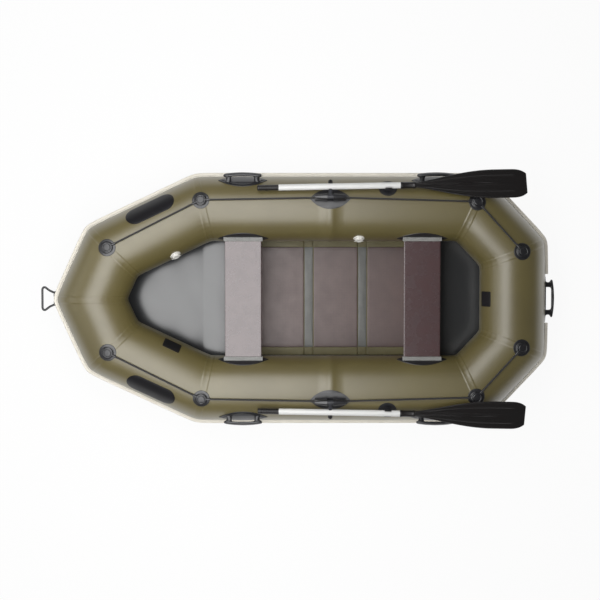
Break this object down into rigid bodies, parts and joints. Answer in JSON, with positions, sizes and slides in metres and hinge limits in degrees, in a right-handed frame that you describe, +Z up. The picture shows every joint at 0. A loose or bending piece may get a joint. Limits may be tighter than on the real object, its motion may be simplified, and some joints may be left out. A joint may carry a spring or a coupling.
{
  "type": "inflatable rowing boat",
  "caption": "Flat-bottomed inflatable PVC rowing boat with a mitred tube ring, board floor, plank seats, rope lifelines and swivel rowlocks with stowed oars.",
  "frame": {"origin": "middle of the bounding box, on the floor under the flat bottom", "axes": "+X to the bow, +Y to port, +Z up"},
  "size_m": [2.8042, 1.3968, 0.425],
  "materials": {
    "pvc_olive": "PVC-coated fabric, satin",
    "strake_ivory": "moulded, two ribs",
    "bottom_grey": "PVC-coated fabric, satin",
    "mat_olive": "coated woven fabric",
    "floor_ply": "stained plywood, lacquered",
    "strip_grey": "coated woven fabric",
    "seat_ply": "stained plywood, lacquered",
    "holder_grey": "moulded, ribbed",
    "moulded_black": "moulded, fine grain",
    "pin_grey": "moulded nylon",
    "oar_black": "moulded, low gloss",
    "shaft_white": "powder coat on aluminium tube",
    "pin_steel": "bright",
    "rope_black": "braided polypropylene",
    "valve_white": "moulded",
    "badge_black": "bare",
    "plate_black": "bare"
  },
  "bodies": {
    "hull": {"fore_chamber": "pvc_olive", "aft_chamber": "pvc_olive", "bottom_panel": "bottom_grey", "strake_port": "strake_ivory", "strake_starboard": "strake_ivory", "floor_mat": "mat_olive", "floor_board_fore": "floor_ply", "floor_board_mid": "floor_ply", "floor_board_aft": "floor_ply", "mat_strips": "strip_grey", "seat_fore": "seat_ply", "seat_aft": "seat_ply", "seat_holders": "holder_grey", "seat_patches": "moulded_black", "rowlock_port": "moulded_black", "rowlock_starboard": "moulded_black", "oar_clip_port": "moulded_black", "oar_clip_starboard": "moulded_black", "handles_port": "moulded_black", "handles_starboard": "moulded_black", "stern_handle": "moulded_black", "tow_bracket": "moulded_black", "tow_pin": "pin_steel", "lifeline_port": "rope_black", "lifeline_starboard": "rope_black", "rope_fixings_port": "moulded_black", "rope_fixings_starboard": "moulded_black", "valve_fore": "valve_white", "valve_aft": "valve_white", "badges": "badge_black", "blank_plates": "plate_black"},
    "oar_port": {"oar_pin_port": "pin_grey", "oar_nut_port": "oar_black", "oar_shaft_port": "shaft_white", "oar_grip_port": "oar_black", "oar_ferrule_port": "oar_black", "oar_blade_port": "oar_black"},
    "oar_starboard": {"oar_pin_starboard": "pin_grey", "oar_nut_starboard": "oar_black", "oar_shaft_starboard": "shaft_white", "oar_grip_starboard": "oar_black", "oar_ferrule_starboard": "oar_black", "oar_blade_starboard": "oar_black"},
    "towing_ring": {"tow_ring": "moulded_black"}
  },
  "joints": [
    {"name": "oar_port_tilt", "type": "hinge", "parent": "hull", "child": "oar_port", "pos_m": [-0.172, 0.5485, 0.38417], "axis": [1, 0, 0], "range_deg": [0, 130]},
    {"name": "oar_starboard_tilt", "type": "hinge", "parent": "hull", "child": "oar_starboard", "pos_m": [-0.172, -0.5485, 0.38417], "axis": [-1, 0, 0], "range_deg": [0, 130]},
    {"name": "tow_ring_hinge", "type": "hinge", "parent": "hull", "child": "towing_ring", "pos_m": [1.32609, 0, 0.20595], "axis": [0, 1, 0], "range_deg": [-60, 95]}
  ]
}
